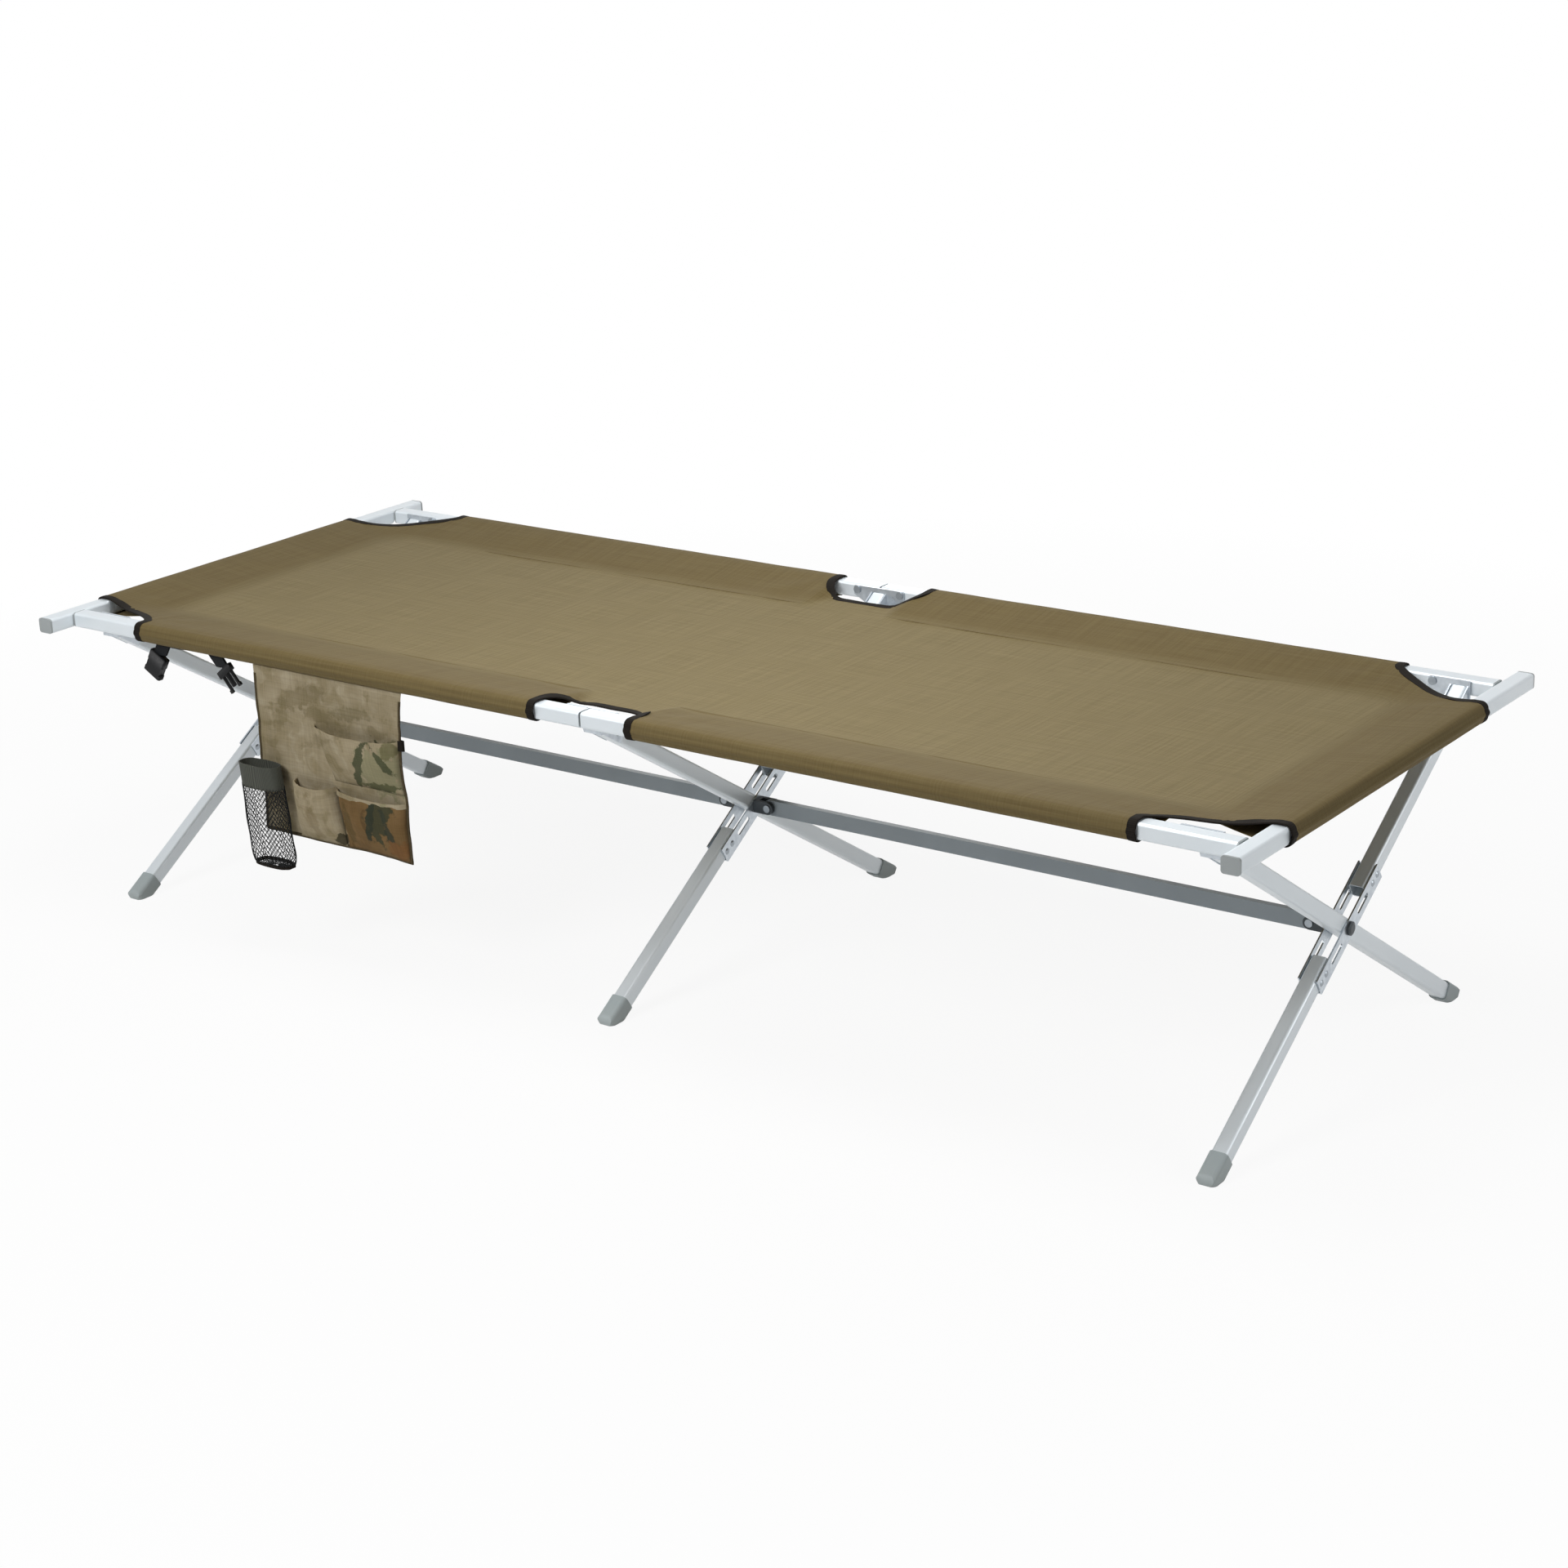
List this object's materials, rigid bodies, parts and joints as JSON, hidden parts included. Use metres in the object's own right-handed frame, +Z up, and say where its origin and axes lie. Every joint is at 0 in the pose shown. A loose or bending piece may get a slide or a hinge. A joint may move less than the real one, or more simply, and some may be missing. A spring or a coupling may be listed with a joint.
{
  "type": "folding cot",
  "caption": "Folding camp bed: stretched cloth on a tubular metal frame with crossed legs, braces, end bars and a hanging side pocket.",
  "frame": {"origin": "on the floor, under the middle of the bed", "axes": "+X along the cot towards the end away from the pocket, -Y towards the pocket side, +Z up"},
  "size_m": [1.9046, 0.776, 0.4323],
  "materials": {
    "aluminium_tube": "satin anodised",
    "plated_steel": "zinc plated",
    "dark_steel": "dark grey paint",
    "brace_metal": "dark grey satin",
    "grey_plastic": "matt",
    "bed_fabric": "woven polyester",
    "pocket_fabric": "woven polyester",
    "mesh_fabric": "knitted mesh",
    "webbing": "ribbed webbing",
    "black_plastic": "satin moulded"
  },
  "bodies": {
    "centre_near": {"near_leg_centre": "aluminium_tube", "near_leg_foot_centre": "grey_plastic", "head_bracket_near_centre": "plated_steel", "rivets_near_centre": "plated_steel", "crossing_bolt_centre": "dark_steel"},
    "centre_far": {"far_leg_centre": "aluminium_tube", "leg_channel_centre": "plated_steel", "far_leg_foot_centre": "grey_plastic", "head_bracket_far_centre": "plated_steel", "rivets_far_centre": "plated_steel"},
    "rail_near_left": {"rail_near_left": "aluminium_tube", "rail_plugs_near_left": "grey_plastic", "rail_pins_near_left": "plated_steel", "bed_cloth_left": "bed_fabric"},
    "rail_far_left": {"rail_far_left": "aluminium_tube", "rail_plugs_far_left": "grey_plastic", "rail_pins_far_left": "plated_steel"},
    "end_leg_near_left": {"near_leg_left": "aluminium_tube", "near_leg_foot_left": "grey_plastic", "head_bracket_near_left": "plated_steel", "rivets_near_left": "plated_steel", "crossing_bolt_left": "dark_steel"},
    "end_leg_far_left": {"far_leg_left": "aluminium_tube", "leg_channel_left": "plated_steel", "far_leg_foot_left": "grey_plastic", "head_bracket_far_left": "plated_steel", "rivets_far_left": "plated_steel"},
    "brace_left": {"brace_left": "brace_metal"},
    "end_bar_left": {"end_bar_left": "aluminium_tube", "bar_caps_left": "grey_plastic"},
    "rail_near_right": {"rail_near_right": "aluminium_tube", "rail_plugs_near_right": "grey_plastic", "rail_pins_near_right": "plated_steel", "bed_cloth_right": "bed_fabric"},
    "rail_far_right": {"rail_far_right": "aluminium_tube", "rail_plugs_far_right": "grey_plastic", "rail_pins_far_right": "plated_steel"},
    "end_leg_near_right": {"near_leg_right": "aluminium_tube", "near_leg_foot_right": "grey_plastic", "head_bracket_near_right": "plated_steel", "rivets_near_right": "plated_steel", "crossing_bolt_right": "dark_steel"},
    "end_leg_far_right": {"far_leg_right": "aluminium_tube", "leg_channel_right": "plated_steel", "far_leg_foot_right": "grey_plastic", "head_bracket_far_right": "plated_steel", "rivets_far_right": "plated_steel"},
    "brace_right": {"brace_right": "brace_metal"},
    "end_bar_right": {"end_bar_right": "aluminium_tube", "bar_caps_right": "grey_plastic"},
    "pocket": {"pocket_panel": "pocket_fabric", "bottle_pouch": "mesh_fabric", "middle_pouch": "pocket_fabric", "wide_pouch": "pocket_fabric", "lower_pouch": "pocket_fabric"},
    "strap_socket": {"strap_socket": "webbing", "buckle_socket": "black_plastic"},
    "strap_plug": {"strap_plug": "webbing", "buckle_plug": "black_plastic"}
  },
  "joints": [
    {"name": "width_fold", "type": "hinge", "parent": "centre_near", "child": "centre_far", "pos_m": [0, 0, 0.20624], "axis": [1, 0, 0], "range_deg": [0, 90], "deforming": ["bed_cloth_left", "bed_cloth_right"]},
    {"name": "length_fold", "type": "hinge", "parent": "centre_near", "child": "rail_near_left", "pos_m": [-0.036, -0.334, 0.423], "axis": [0, -1, 0], "range_deg": [-75, 0]},
    {"name": "length_fold_right", "type": "hinge", "parent": "centre_near", "child": "rail_near_right", "pos_m": [0.036, -0.334, 0.423], "axis": [0, 1, 0], "range_deg": [-75, 0]},
    {"name": "width_fold_rail_left", "type": "hinge", "parent": "rail_near_left", "child": "rail_far_left", "pos_m": [-0.44, 0, 0.20624], "axis": [1, 0, 0], "range_deg": [0, 90]},
    {"name": "end_leg_near_turn_left", "type": "hinge", "parent": "rail_near_left", "child": "end_leg_near_left", "pos_m": [-0.844, -0.334, 0.423], "axis": [0, 1, 0], "range_deg": [-75, 0]},
    {"name": "end_leg_far_turn_left", "type": "hinge", "parent": "rail_far_left", "child": "end_leg_far_left", "pos_m": [-0.844, 0.334, 0.423], "axis": [0, 1, 0], "range_deg": [-75, 0]},
    {"name": "brace_turn_left", "type": "hinge", "parent": "centre_near", "child": "brace_left", "pos_m": [-0.036, 0, 0.20624], "axis": [0, -1, 0], "range_deg": [-75, 0]},
    {"name": "end_bar_lift_left", "type": "hinge", "parent": "rail_near_left", "child": "end_bar_left", "pos_m": [-0.938, -0.334, 0.4195], "axis": [1, 0, 0], "range_deg": [0, 90]},
    {"name": "width_fold_rail_right", "type": "hinge", "parent": "rail_near_right", "child": "rail_far_right", "pos_m": [0.44, 0, 0.20624], "axis": [1, 0, 0], "range_deg": [0, 90]},
    {"name": "end_leg_near_turn_right", "type": "hinge", "parent": "rail_near_right", "child": "end_leg_near_right", "pos_m": [0.844, -0.334, 0.423], "axis": [0, -1, 0], "range_deg": [-75, 0]},
    {"name": "end_leg_far_turn_right", "type": "hinge", "parent": "rail_far_right", "child": "end_leg_far_right", "pos_m": [0.844, 0.334, 0.423], "axis": [0, -1, 0], "range_deg": [-75, 0]},
    {"name": "brace_turn_right", "type": "hinge", "parent": "centre_near", "child": "brace_right", "pos_m": [0.036, 0, 0.20624], "axis": [0, 1, 0], "range_deg": [-75, 0]},
    {"name": "end_bar_lift_right", "type": "hinge", "parent": "rail_near_right", "child": "end_bar_right", "pos_m": [0.938, -0.334, 0.4195], "axis": [1, 0, 0], "range_deg": [0, 90]},
    {"name": "pocket_swing", "type": "hinge", "parent": "rail_near_left", "child": "pocket", "pos_m": [-0.442, -0.342, 0.4042], "axis": [1, 0, 0], "range_deg": [-80, 20]},
    {"name": "strap_socket_swing", "type": "hinge", "parent": "rail_near_left", "child": "strap_socket", "pos_m": [-0.757, -0.334, 0.4042], "axis": [-1, 0, 0], "range_deg": [-40, 40]},
    {"name": "strap_plug_swing", "type": "hinge", "parent": "rail_near_left", "child": "strap_plug", "pos_m": [-0.658, -0.334, 0.4042], "axis": [-1, 0, 0], "range_deg": [-40, 40]}
  ],
  "couplings": [
    {"joint": "width_fold_rail_left", "follows": "width_fold", "ratio": 1},
    {"joint": "end_bar_lift_left", "follows": "width_fold", "ratio": 1},
    {"joint": "end_leg_near_turn_left", "follows": "length_fold", "ratio": 1},
    {"joint": "end_leg_far_turn_left", "follows": "length_fold", "ratio": 1},
    {"joint": "brace_turn_left", "follows": "length_fold", "ratio": 1},
    {"joint": "width_fold_rail_right", "follows": "width_fold", "ratio": 1},
    {"joint": "end_bar_lift_right", "follows": "width_fold", "ratio": 1},
    {"joint": "end_leg_near_turn_right", "follows": "length_fold", "ratio": 1},
    {"joint": "end_leg_far_turn_right", "follows": "length_fold", "ratio": 1},
    {"joint": "brace_turn_right", "follows": "length_fold", "ratio": 1},
    {"joint": "length_fold_right", "follows": "length_fold", "ratio": 1}
  ]
}
